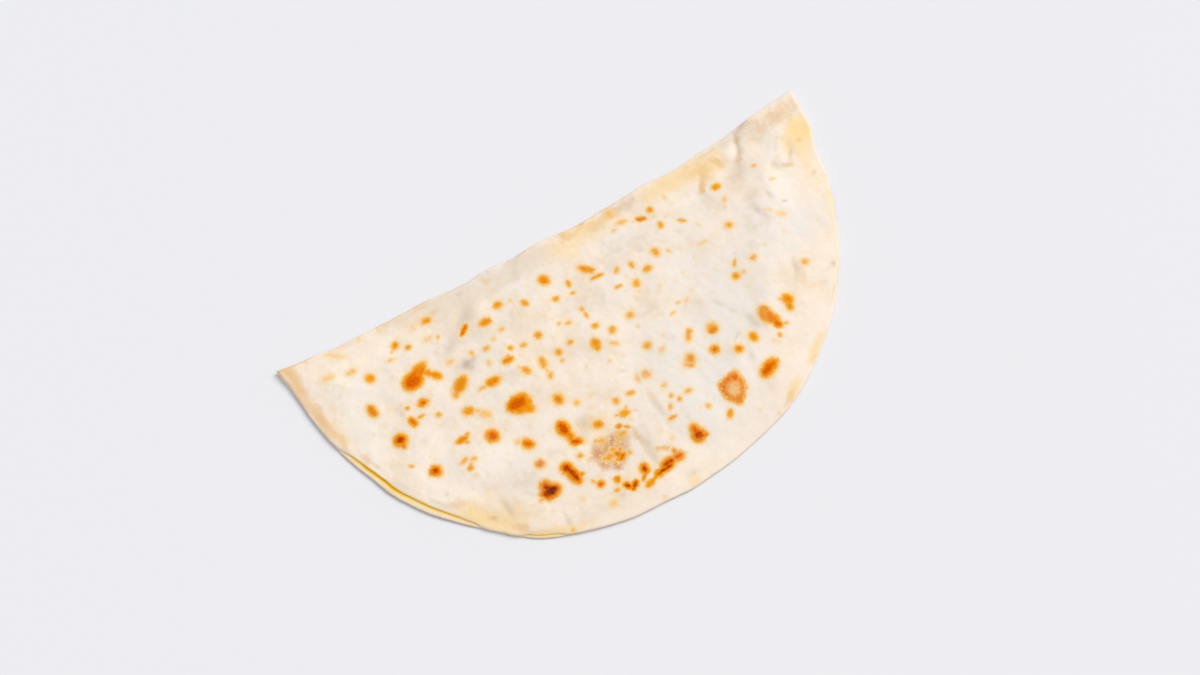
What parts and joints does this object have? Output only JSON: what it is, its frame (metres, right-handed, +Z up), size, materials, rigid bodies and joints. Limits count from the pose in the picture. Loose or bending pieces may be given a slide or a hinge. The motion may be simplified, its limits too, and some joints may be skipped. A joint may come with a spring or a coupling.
{
  "type": "qutab",
  "caption": "Half-moon of thin griddled dough folded over a flat filling, pressed shut along its round edge, with golden and brown scorch spots.",
  "frame": {"origin": "middle of the footprint, on the plane that the qutab rests on", "axes": "+X along the fold, towards the right-hand tip seen from above with the fold at the back; +Y from the round edge towards the fold; +Z up through the shown face"},
  "size_m": [0.2204, 0.1154, 0.0057],
  "materials": {
    "griddled_dough": "matt cream dough with a faint oily sheen, golden to dark brown griddle spots"
  },
  "bodies": {
    "root": {"qutab": "griddled_dough"}
  },
  "joints": []
}
